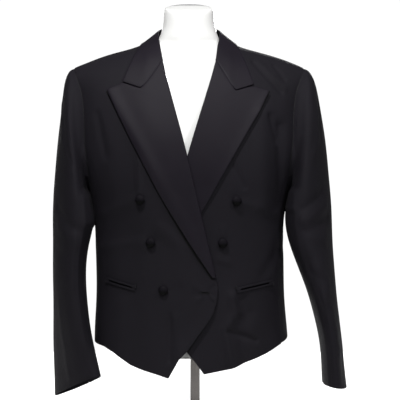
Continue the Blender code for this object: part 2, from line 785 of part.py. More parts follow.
def collar(look):
    halves = []
    for side, end in ((-1, RIGHT_COLLAR_END), (1, LEFT_COLLAR_END)):
        shares = leaf_shares(refined(end))
        half = [collar_end(end, side, share) for share in (0.0, 0.30, 0.60)]
        half += [collar_round(way, side, shares) for way in spaced(0.0, 1.0, COLLAR_SECTIONS)]
        halves.append(half)
    sections = halves[0] + list(reversed(halves[1][:-1]))
    bm = bmesh.new()
    grid(bm, len(sections[0]), len(sections), lambda column, row: sections[row][column])
    piece = add("collar", bm, look)
    solidify(piece, TRIM)
    return piece


# Pockets and buttons


def pocket_jets(look):
    for word, (inner, outer) in POCKETS.items():
        start, end = Vector(inner), Vector(outer)
        along = (end - start).normalized()
        across = Vector((-along.y, along.x)) * (1 if along.x > 0 else -1)
        for which, sign in (("upper", 1), ("lower", -1)):

            def face(lift):
                def place(column, row):
                    away = sign * (JET_SLIT / 2 + JET_WIDTH * row / 2)
                    flat = start.lerp(end, column / 9) + across * away
                    return on_front(flat.x, flat.y, lift, word == "right")

                return place

            bm = wall(10, 3, face(JET_LIFT + JET_THICK), face(JET_LIFT))
            add(f"pocket_{word}_{which}_jet", bm, look)


def turned(profile, steps):
    """A solid of revolution about Z from a profile of (radius, z) that starts and ends on the axis."""
    bm = bmesh.new()
    line = [bm.verts.new((radius, 0, z)) for radius, z in profile]
    edges = [bm.edges.new(pair) for pair in zip(line, line[1:])]
    around = {"cent": (0, 0, 0), "axis": (0, 0, 1), "angle": math.tau}
    bmesh.ops.spin(bm, geom=line + edges, steps=steps, use_merge=True, **around)
    bmesh.ops.remove_doubles(bm, verts=bm.verts[:], dist=0.00001)
    bmesh.ops.recalc_face_normals(bm, faces=bm.faces[:])
    return bm


def buttons(look):
    """Covered buttons: a flat back, a tucked rim and a low dome, square to the cloth under them."""
    rim_radius = BUTTON_RADIUS
    profile = [(0, 0), (rim_radius * 0.62, 0), (rim_radius * 0.90, 0.0012), (rim_radius, 0.0026)]
    profile += [(rim_radius * 0.93, 0.0043), (rim_radius * 0.70, 0.0058), (rim_radius * 0.38, 0.0066)]
    profile += [(0, BUTTON_HEIGHT)]
    for name, (x, z) in BUTTONS.items():
        over = "right" in name
        at = on_front(x, z, BUTTON_LIFT, over)
        out = (on_front(x, z, 0.01, over) - at).normalized()
        piece = add(name, turned(profile, 16), look, at + Vector((GARMENT_X, 0, 0)))
        piece.rotation_mode = "QUATERNION"
        piece.rotation_quaternion = out.to_track_quat("Z", "Y")


# Dress form and its stand


def form_ring(row):
    z, half_width, front, back, power = row
    tilt = NECK_TILT * ease(NECK_TILT_FROM, 0.83, z)
    ring = []
    for k in range(FORM_SEGMENTS):
        turn = math.tau * k / FORM_SEGMENTS
        sine, cosine = math.sin(turn), math.cos(turn)
        x = math.copysign(half_width * abs(sine) ** (2 / power), sine)
        y = math.copysign((front if cosine > 0 else back) * abs(cosine) ** (2 / power), -cosine)
        y += SHOULDER_Y * ease(0.67, 0.73, z)
        ring.append(Vector((x, y, z + tilt * y)))
    return ring


def dress_form(look):
    bm = bmesh.new()
    rings = [[bm.verts.new(p) for p in form_ring(row)] for row in FORM]
    for low, high in zip(rings, rings[1:]):
        for k in range(FORM_SEGMENTS):
            after = (k + 1) % FORM_SEGMENTS
            bm.faces.new((low[k], low[after], high[after], high[k]))
    caps = [bm.faces.new(rings[0]), bm.faces.new(rings[-1])]
    bmesh.ops.recalc_face_normals(bm, faces=bm.faces[:])
    bmesh.ops.triangulate(bm, faces=caps)
    return add("dress_form", bm, look)


def disc(name, radius, low, high, edge, steps, look):
    """A round plate or rod from low to high, with its upper edge eased."""
    profile = [(0, low), (radius, low), (radius, high - edge)]
    profile += [(radius - edge * 0.3, high - edge * 0.3), (radius - edge, high), (0, high)]
    return add(name, turned(profile, steps), look, (0, 0, 0))


def stand(look):
    form_bottom = FORM[0][0]
    flange_bottom = form_bottom - SEAM_GAP - FLANGE_THICK
    disc("base", BASE_RADIUS, 0.0, BASE_THICK, BASE_EDGE, 48, look)
    disc("pole", POLE_RADIUS, BASE_THICK + SEAM_GAP, flange_bottom - SEAM_GAP, 0.0005, 24, look)
    disc("flange", FLANGE_RADIUS, flange_bottom, form_bottom - SEAM_GAP, 0.001, 32, look)


def main():
    for old in list(bpy.data.objects):
        bpy.data.objects.remove(old)
    cloth = material("black_wool", (0.016, 0.015, 0.018), 0.75)
    facing = material("black_facing", (0.022, 0.020, 0.025), 0.55)
    covered = material("covered_button", (0.012, 0.012, 0.014), 0.5)
    shell = material("white_form", (0.86, 0.86, 0.85), 0.35)
    steel = material("chromed_steel", (0.75, 0.75, 0.76), 0.15, 1.0)
    body_panels(cloth)
    sleeves(cloth)
    lapel("lapel_right", RIGHT_ROLL, RIGHT_LEAF, RIGHT_TOP, True, facing)
    lapel("lapel_left", LEFT_ROLL, LEFT_LEAF, LEFT_TOP, False, facing)
    collar(facing)
    pocket_jets(cloth)
    buttons(covered)
    dress_form(shell)
    stand(steel)


main()
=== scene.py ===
# Double-breasted blazer on a dress form: the cloth, its sewing and every finish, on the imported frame
import math

import bmesh
import bpy
import numpy as np
from mathutils import Matrix, Vector


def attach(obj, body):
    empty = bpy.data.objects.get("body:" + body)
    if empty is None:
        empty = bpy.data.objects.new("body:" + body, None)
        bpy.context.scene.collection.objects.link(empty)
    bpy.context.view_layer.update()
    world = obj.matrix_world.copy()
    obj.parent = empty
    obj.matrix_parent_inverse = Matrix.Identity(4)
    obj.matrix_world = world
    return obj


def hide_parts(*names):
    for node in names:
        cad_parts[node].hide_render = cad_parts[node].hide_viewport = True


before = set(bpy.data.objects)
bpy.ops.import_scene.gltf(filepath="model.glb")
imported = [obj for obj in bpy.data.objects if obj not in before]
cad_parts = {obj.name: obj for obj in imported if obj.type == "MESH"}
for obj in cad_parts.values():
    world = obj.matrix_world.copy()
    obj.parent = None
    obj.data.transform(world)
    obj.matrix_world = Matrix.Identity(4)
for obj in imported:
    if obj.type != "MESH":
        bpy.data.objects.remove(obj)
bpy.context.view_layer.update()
scene = bpy.context.scene
print("frame loaded")


# Wiring of the materials


class Wire:  # an output socket: arithmetic on it adds Math nodes
    def __init__(self, nodes, socket):
        self.nodes = nodes
        self.socket = socket

    def maths(self, operation, first, second=0.0):
        return self.nodes.node("ShaderNodeMath", {"operation": operation}, {0: first, 1: second})

    def __add__(self, other):
        return self.maths("ADD", self, other)

    def __radd__(self, other):
        return self.maths("ADD", other, self)

    def __sub__(self, other):
        return self.maths("SUBTRACT", self, other)

    def __rsub__(self, other):
        return self.maths("SUBTRACT", other, self)

    def __mul__(self, other):
        return self.maths("MULTIPLY", self, other)

    def __rmul__(self, other):
        return self.maths("MULTIPLY", other, self)

    def sine(self):
        return self.maths("SINE", self)


class Nodes:  # a node tree, built one node at a time
    def __init__(self, tree):
        self.tree = tree

    def node(self, kind, settings=None, sockets=None, output=0):
        made = self.tree.nodes.new(kind)
        for key, value in (settings or {}).items():
            setattr(made, key, value)
        for key, value in (sockets or {}).items():
            self.join(made.inputs[key], value)
        return Wire(self, made.outputs[output])

    def join(self, socket, value):
        if isinstance(value, Wire):
            self.tree.links.new(value.socket, socket)
        else:
            socket.default_value = value


class Finish(Nodes):  # a material, wired back from its Principled shader
    def __init__(self, name, constants):
        self.material = bpy.data.materials.new(name)
        self.material.use_nodes = True
        super().__init__(self.material.node_tree)
        self.shader = self.tree.nodes["Principled BSDF"]
        for socket, value in constants.items():
            self.shader.inputs[socket].default_value = value

    def drive(self, **sockets):
        for name, value in sockets.items():
            self.join(self.shader.inputs[name.replace("_", " ")], value)
        return self.material

    def place(self):  # the piece's own coordinates, in metres
        return self.node("ShaderNodeTexCoord", output="Object")

    def part(self, vector, axis):
        return self.node("ShaderNodeSeparateXYZ", {}, {0: vector}, axis)

    def stretched(self, vector, scales):
        return self.node("ShaderNodeVectorMath", {"operation": "MULTIPLY"}, {0: vector, 1: scales})

    def share(self, value, low, high):
        return self.node("ShaderNodeMapRange", {}, {"Value": value, "From Min": low, "From Max": high})

    def noise(self, scale, detail=2.0, at=None):
        sockets = {"Vector": at or self.place(), "Scale": scale, "Detail": detail}
        return self.node("ShaderNodeTexNoise", {}, sockets)

    def blend(self, factor, first, second):
        ends = [end if isinstance(end, Wire) else (*end, 1) for end in (first, second)]
        return self.node("ShaderNodeMix", {"data_type": "RGBA"}, {0: factor, 6: ends[0], 7: ends[1]}, 2)

    def bump(self, height, distance, strength=1.0):
        sockets = {"Height": height, "Distance": distance, "Strength": strength}
        return self.node("ShaderNodeBump", {}, sockets)


def weighed(signals, shares):
    return sum(share * signals[name] for name, share in shares.items())


# Woven cloths: a twill on the piece's own "cloth" map, which is in metres
cloths = {
    "suiting": {
        "dark": (0.0028, 0.0024, 0.0036),
        "light": (0.0086, 0.0074, 0.0108),
        "twill": 0.0011,
        "thread": 0.0005,
        "relief": 0.00010,
        "rough": (0.62, 0.80),
        "constants": {"Specular IOR Level": 0.10, "Sheen Weight": 0.004, "Sheen Roughness": 0.45},
    },
    "facing": {
        "dark": (0.0025, 0.0018, 0.0033),
        "light": (0.0074, 0.0054, 0.0098),
        "twill": 0.0008,
        "thread": 0.0004,
        "relief": 0.00006,
        "rough": (0.50, 0.66),
        "constants": {"Specular IOR Level": 0.11, "Sheen Weight": 0.004, "Sheen Roughness": 0.40},
    },
    "buttonCloth": {
        "dark": (0.0018, 0.0015, 0.0023),
        "light": (0.0056, 0.0046, 0.0070),
        "twill": 0.0007,
        "thread": 0.0004,
        "relief": 0.00005,
        "rough": (0.58, 0.70),
        "constants": {"Specular IOR Level": 0.05, "Sheen Weight": 0.002, "Sheen Roughness": 0.40},
    },
}

# What the cloths share: scales of the noises, how much of each signal goes where, and the range and
# near-black colour of the painted shade read from the piece's attribute
weave = {
    "fibreScale": 1800,
    "cloudScale": 11,
    "detail": 3.0,
    "slubStretch": (900, 60, 1),
    "shade": {"cloud": 0.5, "fibre": 0.3, "slub": 0.2, "rib": 0.04},
    "roughness": {"cloud": 0.6, "fibre": 0.4},
    "relief": {"rib": 0.5, "thread": 0.25, "fibre": 0.8, "slub": 0.3},
    "strength": 0.7,
    "paintedShade": (0.05, 0.70),
    "paintedShadeColour": (0.0004, 0.0004, 0.0005),
}


def clothFinish(name):
    look = cloths[name]
    finish = Finish(name, look["constants"])
    uv = finish.node("ShaderNodeUVMap", {"uv_map": "cloth"})
    across, along = finish.part(uv, "X"), finish.part(uv, "Y")
    signals = {
        "rib": ((across + along) * (math.tau / look["twill"])).sine(),
        "thread": ((across - along) * (math.tau / look["thread"])).sine(),
        "fibre": finish.noise(weave["fibreScale"], weave["detail"]),
        "cloud": finish.noise(weave["cloudScale"], weave["detail"]),
        "slub": finish.noise(1.0, at=finish.stretched(uv, weave["slubStretch"])),
    }
    cloth = finish.blend(weighed(signals, weave["shade"]), look["dark"], look["light"])
    # painted shade: a per-point attribute blends the cloth towards near-black, beside standing edges and on
    # the buttons' lower halves
    paintedShade = finish.node("ShaderNodeAttribute", {"attribute_name": "paintedShade"}, output="Fac")
    low, high = look["rough"]
    return finish.drive(
        Base_Color=finish.blend(finish.share(paintedShade, *weave["paintedShade"]), cloth, weave["paintedShadeColour"]),
        Roughness=low + (high - low) * weighed(signals, weave["roughness"]),
        Normal=finish.bump(weighed(signals, weave["relief"]), look["relief"], weave["strength"]),
    )


# Finishes of one fine grain
grains = {
    "sewingThread": {
        "scale": 3500,
        "dark": (0.0015, 0.0015, 0.0018),
        "light": (0.0060, 0.0057, 0.0070),
        "rough": (0.45, 0.65),
        "relief": 0.00008,
        "constants": {"Specular IOR Level": 0.15},
    },
    # painted shade: a near-black sheet laid in the pocket mouths and the buttonhole slit
    "paintedOpeningShade": {
        "scale": 900,
        "dark": (0.0003, 0.0003, 0.0004),
        "light": (0.0009, 0.0009, 0.0011),
        "rough": (0.85, 0.95),
        "constants": {"Specular IOR Level": 0.02},
    },
    "floorPaper": {
        "scale": 40,
        "dark": (0.86, 0.86, 0.86),
        "light": (0.90, 0.90, 0.90),
        "rough": (0.90, 0.95),
        "constants": {"Emission Strength": 0.60, "Emission Color": (1, 1, 1, 1)},
    },
}


def grainFinish(name):
    look = grains[name]
    finish = Finish(name, look["constants"])
    grain = finish.noise(look["scale"])
    low, high = look["rough"]
    if "relief" in look:
        finish.drive(Normal=finish.bump(grain, look["relief"]))
    return finish.drive(
        Base_Color=finish.blend(grain, look["dark"], look["light"]),
        Roughness=low + (high - low) * grain,
    )


# The form's smooth shell, painted greyer on the cap of its neck: painted shade on the neck's top
shellLook = {
    "hazeScale": 6,
    "hazeDetail": 3.0,
    "speckScale": 420,
    "dark": (0.60, 0.60, 0.59),
    "light": (0.66, 0.66, 0.65),
    "neckTopShadeHeights": (0.8375, 0.8420),
    "cap": (0.25, 0.25, 0.25),
    "rough": 0.30,
    "roughness": {"haze": 0.10, "speck": 0.05},
    "coat": 0.25,
    "coating": {"haze": 0.10},
    "relief": {"haze": 0.7, "speck": 0.02},
    "depth": 0.0006,
    "strength": 0.25,
    "constants": {"Specular IOR Level": 0.45, "Coat Roughness": 0.12, "IOR": 1.48},
}


def shellFinish():
    look = shellLook
    finish = Finish("formShell", look["constants"])
    haze = finish.noise(look["hazeScale"], look["hazeDetail"])
    signals = {"haze": haze, "speck": finish.noise(look["speckScale"])}
    # painted shade: above these heights the shell goes to the cap's grey, on the top of the neck
    cap = finish.share(finish.part(finish.place(), "Z"), *look["neckTopShadeHeights"])
    skin = finish.blend(haze, look["dark"], look["light"])
    return finish.drive(
        Base_Color=finish.blend(cap, skin, look["cap"]),
        Roughness=look["rough"] + weighed(signals, look["roughness"]),
        Coat_Weight=look["coat"] + weighed(signals, look["coating"]),
        Normal=finish.bump(weighed(signals, look["relief"]), look["depth"], look["strength"]),
    )


# Dark chromed steel with the fine rings of a turned face
steelLook = {
    "smearScale": 14,
    "smearDetail": 4.0,
    "turnedStretch": (30, 30, 900),
    "dark": (0.050, 0.046, 0.044),
    "light": (0.130, 0.122, 0.116),
    "rough": 0.10,
    "roughness": {"smear": 0.14, "turned": 0.05},
    "depth": 0.00004,
    "strength": 0.4,
    "constants": {"Metallic": 1.0},
}


def steelFinish():
    look = steelLook
    finish = Finish("chromedSteel", look["constants"])
    smear = finish.noise(look["smearScale"], look["smearDetail"])
    turned = finish.noise(1.0, at=finish.stretched(finish.place(), look["turnedStretch"]))
    return finish.drive(
        Base_Color=finish.blend(smear, look["dark"], look["light"]),
        Roughness=look["rough"] + weighed({"smear": smear, "turned": turned}, look["roughness"]),
        Normal=finish.bump(turned, look["depth"], look["strength"]),
    )


finishes = {name: clothFinish(name) for name in cloths}
finishes |= {name: grainFinish(name) for name in grains}
finishes["formShell"] = shellFinish()
finishes["chromedSteel"] = steelFinish()
print("finishes made")


# Shells on the solids' forms. Rims are the narrow faces at the edge of a cloth's wall, and they are grown
# outwards, which closes the seams. Angles are in radians.
shells = {
    "weld": 0.00002,
    "rimWidth": 0.0017,
    "rimAngle": 0.9,
    "seamGrow": 0.00035,
    "joining": {"angle_face_threshold": math.radians(30), "angle_shape_threshold": math.radians(70)},
    "creaseAngle": 0.7,
}
far = 9.0


def pointsOf(*nodes):
    found = [vertex.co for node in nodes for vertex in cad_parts[node].data.vertices]
    return np.array(found, float)


def ease(low, high, value):
    share = np.clip((value - low) / (high - low), 0, 1)
    return share * share * (3 - 2 * share)


def bell(distance, width):
    return np.exp(-((distance / width) ** 2))


def placed(name, data):
    made = bpy.data.objects.new(name, data)
    scene.collection.objects.link(made)
    return made


def isRim(face):
    longest = max(edge.calc_length() for edge in face.edges)
    narrow = face.calc_area() / longest < shells["rimWidth"]
    return narrow and any(edge.calc_face_angle(0) > shells["rimAngle"] for edge in face.edges)


def growRims(bm):
    rims = [face for face in bm.faces if isRim(face)]
    ways = {vertex: Vector() for face in rims for vertex in face.verts}
    for face in rims:
        for vertex in face.verts:
            ways[vertex] += face.normal
    for vertex, way in ways.items():
        vertex.co += way.normalized() * shells["seamGrow"]


def shellOf(node, name, settings, sewn=False):
    bm = bmesh.new()
    bm.from_mesh(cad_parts[node].data)
    bmesh.ops.remove_doubles(bm, verts=bm.verts[:], dist=shells["weld"])
    if sewn:
        growRims(bm)
    bmesh.ops.join_triangles(bm, faces=bm.faces[:], **shells["joining"])
    crease = bm.edges.layers.float.new("crease_edge")
    for edge in bm.edges:
        if len(edge.link_faces) == 2 and edge.calc_face_angle() > shells["creaseAngle"]:
            edge[crease] = settings["sharpness"]
    draft = bpy.data.meshes.new(name)
    bm.to_mesh(draft)
    bm.free()
    for layer in ("custom_normal", "UVMap"):
        if layer in draft.attributes:
            draft.attributes.remove(draft.attributes[layer])
    piece = placed(name, draft)
    rounding = piece.modifiers.new("rounding", "SUBSURF")
    rounding.levels = settings["levels"]
    rounding.render_levels = settings["levels"]
    piece.data = bpy.data.meshes.new_from_object(piece.evaluated_get(bpy.context.evaluated_depsgraph_get()))
    piece.modifiers.clear()
    piece.data.materials.clear()
    piece.data.shade_smooth()
    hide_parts(node)
    return piece


def readPoints(piece):
    flat = np.zeros(len(piece.data.vertices) * 3)
    piece.data.vertices.foreach_get("co", flat)
    return flat.reshape(-1, 3)


def writePoints(piece, points):
    piece.data.vertices.foreach_set("co", points.ravel())
    piece.data.update()


def writeMap(piece, across, along):  # the cloth map, in metres, one place for each corner
    layer = piece.data.uv_layers.new(name="cloth")
    corner = np.zeros(len(piece.data.loops), int)
    piece.data.loops.foreach_get("vertex_index", corner)
    layer.uv.foreach_set("vector", np.stack([across[corner], along[corner]], 1).ravel())


# stores the painted shade per point, which the cloth finishes read
def writePaintedShade(piece, depth):
    layer = piece.data.attributes.new("paintedShade", "FLOAT", "POINT")
    layer.data.foreach_set("value", depth)


def moved(piece, lift, outward, mapped):
    points = readPoints(piece)
    writeMap(piece, *mapped(points))
    writePoints(piece, points + outward(points) * lift(points)[:, None])


def finishPiece(piece, finish):
    piece.data.materials.append(finishes[finish])
    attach(piece, "root")
    return piece


def addPiece(name, bm, finish):
    mesh = bpy.data.meshes.new(name)
    bm.to_mesh(mesh)
    bm.free()
    mesh.shade_smooth()
    return finishPiece(placed(name, mesh), finish)


def addThread(bm, place, axes, size):  # one laid thread, with its half size along each of its axes
    turned = Matrix(axes).transposed().to_4x4()
    where = Matrix.Translation(place) @ turned @ Matrix.Diagonal((*size, 1))
    bmesh.ops.create_icosphere(bm, subdivisions=2, radius=1.0, matrix=where)


def foldHeight(across, up, folds):
    total = np.zeros(len(across))
    for line, width, height, lean in folds:
        nearest = np.full(len(across), far)
        aside = np.zeros(len(across))
        for (x1, z1), (x2, z2) in zip(line, line[1:]):
            runX, runZ = x2 - x1, z2 - z1
            length = math.hypot(runX, runZ)
            share = np.clip(((across - x1) * runX + (up - z1) * runZ) / length**2, 0, 1)
            offX, offZ = across - x1 - share * runX, up - z1 - share * runZ
            gap = np.hypot(offX, offZ)
            aside = np.where(gap < nearest, (offX * runZ - offZ * runX) / length, aside)
            nearest = np.minimum(gap, nearest)
        total += height * bell(nearest, width) * (1 + lean * np.tanh(aside / width))
    return total


def ripple(across, up, waves):
    total = np.zeros(len(across))
    for wide, tall, turn, high in waves:
        total += high * np.sin(math.tau * (across / wide + up / tall) + turn)
    return total


def lineOff(across, up, start, end):  # distance from a line, and the share of the way along it
    run = np.subtract(end, start)
    length = np.hypot(*run)
    along = ((across - start[0]) * run[0] + (up - start[1]) * run[1]) / length
    aside = ((across - start[0]) * run[1] - (up - start[1]) * run[0]) / length
    return aside, along / length


# Body of the blazer. Folds lie in the front view, or the back view seen from the front, from the garment's
# centre. A fold's lean steepens its side to the right of the line. A wave is a ripple over the whole cloth.
body = {
    "centreX": -0.012,
    "levels": 3,
    "sharpness": 0.50,
    "foldGain": 1.7,
    "flatten": 0.42,
    "domeFrom": 0.50,
    "domeShare": 0.25,
    "frontToBack": (-0.020, 0.030),
    "armholeCalm": (0.003, 0.024),
    "neckHeights": (0.725, 0.750),
    "neckReach": (0.06, 0.11),
    "halfWidth": 0.205,
    "halfDepth": 0.127,
    "mapSteps": 361,
    "frontFolds": [
        # line of (x, z), width, height, lean
        (((0.1274, 0.7235), (0.1807, 0.6639)), 0.0045, -0.0014, 0.5),
        (((0.1681, 0.7172), (0.1883, 0.6892)), 0.0040, -0.0010, 0.5),
        (((0.1380, 0.7200), (0.1880, 0.6700)), 0.0060, 0.0010, 0.0),
        (((0.1450, 0.6177), (0.1470, 0.4514)), 0.0190, 0.0032, 0.2),
        (((0.1790, 0.5967), (0.1800, 0.4509)), 0.0100, -0.0026, 0.4),
        (((0.1560, 0.6150), (0.1700, 0.5700)), 0.0060, -0.0018, 0.3),
        (((-0.0940, 0.5271), (-0.0930, 0.4700)), 0.0075, 0.0013, 0.0),
        (((0.0868, 0.5214), (0.1078, 0.4814)), 0.0055, -0.0011, 0.5),
        (((-0.0529, 0.4032), (-0.0129, 0.3632), (-0.0150, 0.3041)), 0.0120, 0.0014, 0.0),
        (((-0.0370, 0.2354), (-0.0360, 0.1477)), 0.0045, -0.0012, -0.6),
        (((-0.0230, 0.2300), (-0.0200, 0.1600)), 0.0080, 0.0012, 0.0),
        (
            ((0.0860, 0.2698), (0.0930, 0.2373), (0.0730, 0.2068), (0.0770, 0.1820), (0.0830, 0.1439)),
            0.0090, 0.0022, 0.6,
        ),
        (
            ((0.1050, 0.2600), (0.1150, 0.2373), (0.0990, 0.2068), (0.1040, 0.1820), (0.1090, 0.1439)),
            0.0130, -0.0030, 0.0,
        ),
        (((0.0773, 0.2011), (0.1306, 0.1820)), 0.0060, -0.0028, -0.6),
        (((0.1763, 0.3575), (0.1478, 0.3098)), 0.0110, -0.0016, 0.3),
        (((0.0660, 0.4020), (0.0655, 0.3850)), 0.0060, 0.0009, 0.0),
        (((0.0580, 0.3410), (0.0780, 0.3360)), 0.0060, 0.0009, 0.0),
        (((0.0260, 0.2810), (0.0130, 0.2930)), 0.0028, 0.0010, 0.0),
        (((0.0245, 0.2770), (0.0080, 0.2740)), 0.0026, -0.0008, 0.0),
        (((0.0270, 0.2740), (0.0180, 0.2610)), 0.0026, 0.0009, 0.0),
        (((0.0390, 0.2810), (0.0490, 0.2930)), 0.0026, -0.0009, 0.0),
        (((0.0400, 0.2745), (0.0490, 0.2640)), 0.0026, 0.0010, 0.0),
        (((-0.0900, 0.3760), (-0.1700, 0.3600)), 0.0110, 0.0011, 0.2),
        (((-0.1000, 0.4570), (-0.1650, 0.4250)), 0.0110, 0.0010, 0.2),
        (((-0.1780, 0.6200), (-0.1600, 0.5400)), 0.0080, -0.0012, 0.0),
        (((0.1000, 0.4500), (0.1700, 0.4250)), 0.0090, 0.0010, -0.3),
        (((-0.1250, 0.2500), (-0.1300, 0.1600)), 0.0180, 0.0016, 0.0),
    ],
    "backFolds": [
        # line of (x, z), width, height, lean
        (((-0.0500, 0.7360), (0.0500, 0.7360)), 0.0070, -0.0010, 0.5),
        (((-0.1750, 0.6100), (-0.0900, 0.5200)), 0.0130, 0.0020, 0.3),
        (((0.1750, 0.6050), (0.0950, 0.5150)), 0.0130, 0.0020, -0.3),
        (((-0.1650, 0.5500), (-0.1000, 0.4400)), 0.0120, -0.0018, 0.0),
        (((0.1620, 0.5450), (0.0950, 0.4500)), 0.0120, -0.0018, 0.0),
        (((-0.1450, 0.3700), (-0.0400, 0.3350)), 0.0100, -0.0020, 0.5),
        (((0.0200, 0.3450), (0.1350, 0.3750)), 0.0100, -0.0020, -0.5),
        (((-0.1200, 0.3300), (-0.0200, 0.2980)), 0.0110, 0.0014, 0.3),
        (((0.0400, 0.3050), (0.1200, 0.3250)), 0.0110, 0.0014, -0.3),
        (((-0.1450, 0.2800), (-0.1480, 0.1600)), 0.0170, -0.0020, 0.0),
        (((-0.0500, 0.2700), (-0.0480, 0.1560)), 0.0170, 0.0020, 0.0),
        (((0.0500, 0.2600), (0.0520, 0.1560)), 0.0170, -0.0018, 0.0),
        (((0.1480, 0.2800), (0.1500, 0.1600)), 0.0170, 0.0022, 0.0),
    ],
    "waves": [
        # length across, length up, turn, height
        (0.210, 0.900, 0.4, 0.00045),
        (0.140, -0.310, 1.9, 0.00035),
        (0.330, 0.150, 3.1, 0.00035),
        (-0.095, 0.260, 4.4, 0.00022),
    ],
}

# Edges that stand off what is under them. A line lies in the front view, from the garment's centre, and the
# shares of its length are those over which the edge comes up or lies down again.
standing = {
    "width": 0.013,
    "lapelsLieDown": (0.92, 1.02),
    "frontComesUp": (-0.30, 0.10),
    "edges": {
        # start (x, z), end (x, z), height at the start, height at the end
        "lapel_left": ((0.1580, 0.6620), (0.0400, 0.4450), 0.0034, 0.0018),
        "lapel_right": ((-0.1518, 0.6644), (0.0506, 0.3088), 0.0034, 0.0024),
        "front_right": ((0.0520, 0.2500), (-0.0065, 0.1670), 0.0004, 0.0040),
    },
}

# The line round each armhole, found where sleeve and panels meet
armholeSearch = {"reach": 0.0015, "middleZ": 0.60, "steps": 240}


def armholeLine(word):
    sleeve = pointsOf(f"sleeve_{word}_top", f"sleeve_{word}_under")
    panels = pointsOf(f"front_{word}", f"back_{word}", f"side_{word}")
    gaps = np.array([np.linalg.norm(panels - point, axis=1).min() for point in sleeve])
    ring = sleeve[gaps < armholeSearch["reach"]]
    turn = np.arctan2(ring[:, 2] - armholeSearch["middleZ"], ring[:, 1])
    order = np.argsort(turn)
    turns = np.linspace(-math.pi, math.pi, armholeSearch["steps"])
    columns = [np.interp(turns, turn[order], ring[order, axis], period=math.tau) for axis in range(3)]
    return np.stack(columns, 1)


armholes = {word: armholeLine(word) for word in ("left", "right")}


def armholeDistance(points, word):
    nearest = np.full(len(points), far)
    for spot in armholes[word]:
        nearest = np.minimum(nearest, np.linalg.norm(points - spot, axis=1))
    return nearest


def frontView(points):  # distance across from the garment's centre, and height
    return points[:, 0] - body["centreX"], points[:, 2]


def bodyOutward(points):
    x = frontView(points)[0] * body["flatten"]
    z = np.maximum(0, points[:, 2] - body["domeFrom"]) * body["domeShare"]
    way = np.stack([x, points[:, 1], z], 1)
    return way / np.linalg.norm(way, axis=1)[:, None]


def bodyLift(points):  # how far the cloth of the body stands out at these points
    across, up = frontView(points)
    behind = ease(*body["frontToBack"], points[:, 1])
    front = foldHeight(across, up, body["frontFolds"])
    back = foldHeight(across, up, body["backFolds"])
    near = np.minimum(armholeDistance(points, "left"), armholeDistance(points, "right"))
    neck = 1 - ease(*body["neckHeights"], up) * (1 - ease(*body["neckReach"], np.abs(across)))
    loose = ripple(across, up, body["waves"]) * neck
    folds = front * (1 - behind) + back * behind
    return (body["foldGain"] * folds + loose) * ease(*body["armholeCalm"], near)


def edgeStand(points, node):
    if node not in standing["edges"]:
        return 0
    start, end, first, last = standing["edges"][node]
    aside, share = lineOff(*frontView(points), start, end)
    most = first + (last - first) * np.clip(share, 0, 1)
    if node.startswith("lapel"):
        most *= 1 - ease(*standing["lapelsLieDown"], share)
    else:
        most *= ease(*standing["frontComesUp"], share) * (points[:, 1] < 0)
    return most * bell(aside, standing["width"])


def bodyMap(points):  # length round the body from the centre of the front, and height
    wide, deep = body["halfWidth"], body["halfDepth"]
    turns = np.linspace(-math.pi, math.pi, body["mapSteps"])
    ring = np.stack([wide * np.sin(turns), -deep * np.cos(turns)], 1)
    steps = np.linalg.norm(np.diff(ring, axis=0), axis=1)
    lengths = np.concatenate([[0], np.cumsum(steps)]) - steps.sum() / 2
    across, up = frontView(points)
    angle = np.arctan2(across * deep / wide, -points[:, 1])
    real = np.arctan2(ring[:, 0] * deep / wide, -ring[:, 1])
    return np.interp(angle, real, lengths), up


bodyPanels = {
    "front_left": "frontLeftCloth",
    "front_right": "frontRightCloth",
    "back_left": "backLeftCloth",
    "back_right": "backRightCloth",
    "side_left": "sideLeftCloth",
    "side_right": "sideRightCloth",
}
pieces = {}
for node, name in bodyPanels.items():
    piece = shellOf(node, name, body, sewn=True)
    moved(piece, lambda points: bodyLift(points) + edgeStand(points, node), bodyOutward, bodyMap)
    pieces[node] = finishPiece(piece, "suiting")
print("body panels made")


